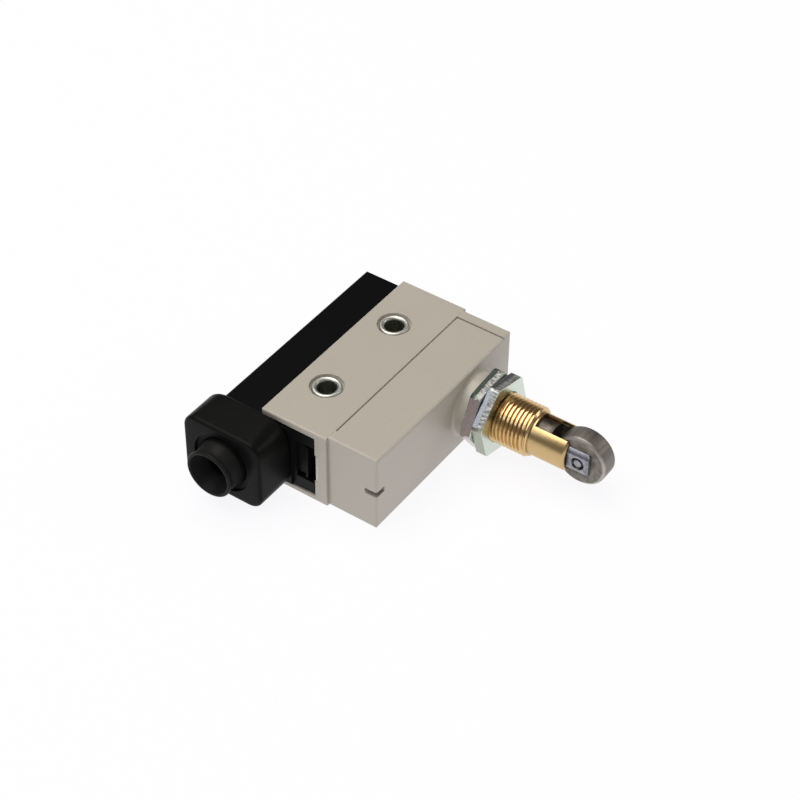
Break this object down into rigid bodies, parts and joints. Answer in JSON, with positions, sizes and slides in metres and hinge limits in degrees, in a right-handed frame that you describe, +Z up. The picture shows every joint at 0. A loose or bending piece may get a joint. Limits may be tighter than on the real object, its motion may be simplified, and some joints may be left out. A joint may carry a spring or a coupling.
{
  "type": "plunger limit switch",
  "caption": "Enclosed limit switch with a cross-roller plunger in a threaded panel bushing, lined mounting holes, a snap-in terminal cover and a rubber cable gland.",
  "frame": {"origin": "midway between the two mounting holes, on the lower broad face that the switch lies on", "axes": "+X the way the plunger points, +Y along the case away from the cable gland, +Z up through the mounting holes"},
  "size_m": [0.0801, 0.0685, 0.02],
  "materials": {
    "case_plastic": "satin",
    "black_plastic": "satin",
    "gland_rubber": "matte",
    "seal_rubber": "matte",
    "eyelet_steel": "bright",
    "bushing_brass": "turned",
    "nut_steel": "zinc plated",
    "plunger_steel": "ground",
    "roller_steel": "oiled",
    "spring_steel": "drawn",
    "base_phenolic": "matte",
    "button_plastic": "satin",
    "blade_copper": "rolled",
    "contact_silver": "bright",
    "terminal_brass": "stamped",
    "screw_steel": "zinc plated"
  },
  "bodies": {
    "housing": {"case": "case_plastic", "head": "case_plastic", "head_packing": "seal_rubber", "terminal_cover": "black_plastic", "cover_packing": "seal_rubber", "cable_gland": "gland_rubber", "mounting_eyelets": "eyelet_steel", "bushing": "bushing_brass", "inner_nut": "nut_steel", "outer_nut": "nut_steel", "return_spring": "spring_steel", "switch_base": "base_phenolic", "switch_lid": "base_phenolic", "common_terminal": "terminal_brass", "open_terminal": "terminal_brass", "closed_terminal": "terminal_brass", "terminal_screws": "screw_steel"},
    "plunger": {"plunger": "plunger_steel", "plunger_seal": "seal_rubber", "roller_pin": "plunger_steel", "retaining_ring": "spring_steel", "overtravel_spring": "spring_steel"},
    "roller": {"roller": "roller_steel"},
    "push_rod": {"push_rod": "plunger_steel", "switch_button": "button_plastic"},
    "blade": {"contact_blade": "blade_copper", "moving_contact": "contact_silver"}
  },
  "joints": [
    {"name": "plunger_slide", "type": "slide", "parent": "housing", "child": "plunger", "axis": [1, 0, 0], "range_m": [-0.005, 0], "stiffness_N_per_m": 1200, "deforming": ["return_spring", "overtravel_spring"]},
    {"name": "roller_spin", "type": "hinge", "parent": "plunger", "child": "roller", "pos_m": [0.05225, 0.01065, 0.01], "axis": [0, 1, 0], "continuous": true},
    {"name": "push_rod_slide", "type": "slide", "parent": "housing", "child": "push_rod", "axis": [1, 0, 0], "range_m": [-0.00061, 0]},
    {"name": "blade_hinge", "type": "hinge", "parent": "housing", "child": "blade", "pos_m": [0.00815, -0.0187, 0.01], "axis": [0, 0, 1], "range_deg": [0, 1.2]}
  ],
  "couplings": [
    {"joint": "push_rod_slide", "follows": "plunger_slide", "ratio": 0.12},
    {"joint": "blade_hinge", "follows": "plunger_slide", "rad_per_m": -4.0886}
  ]
}
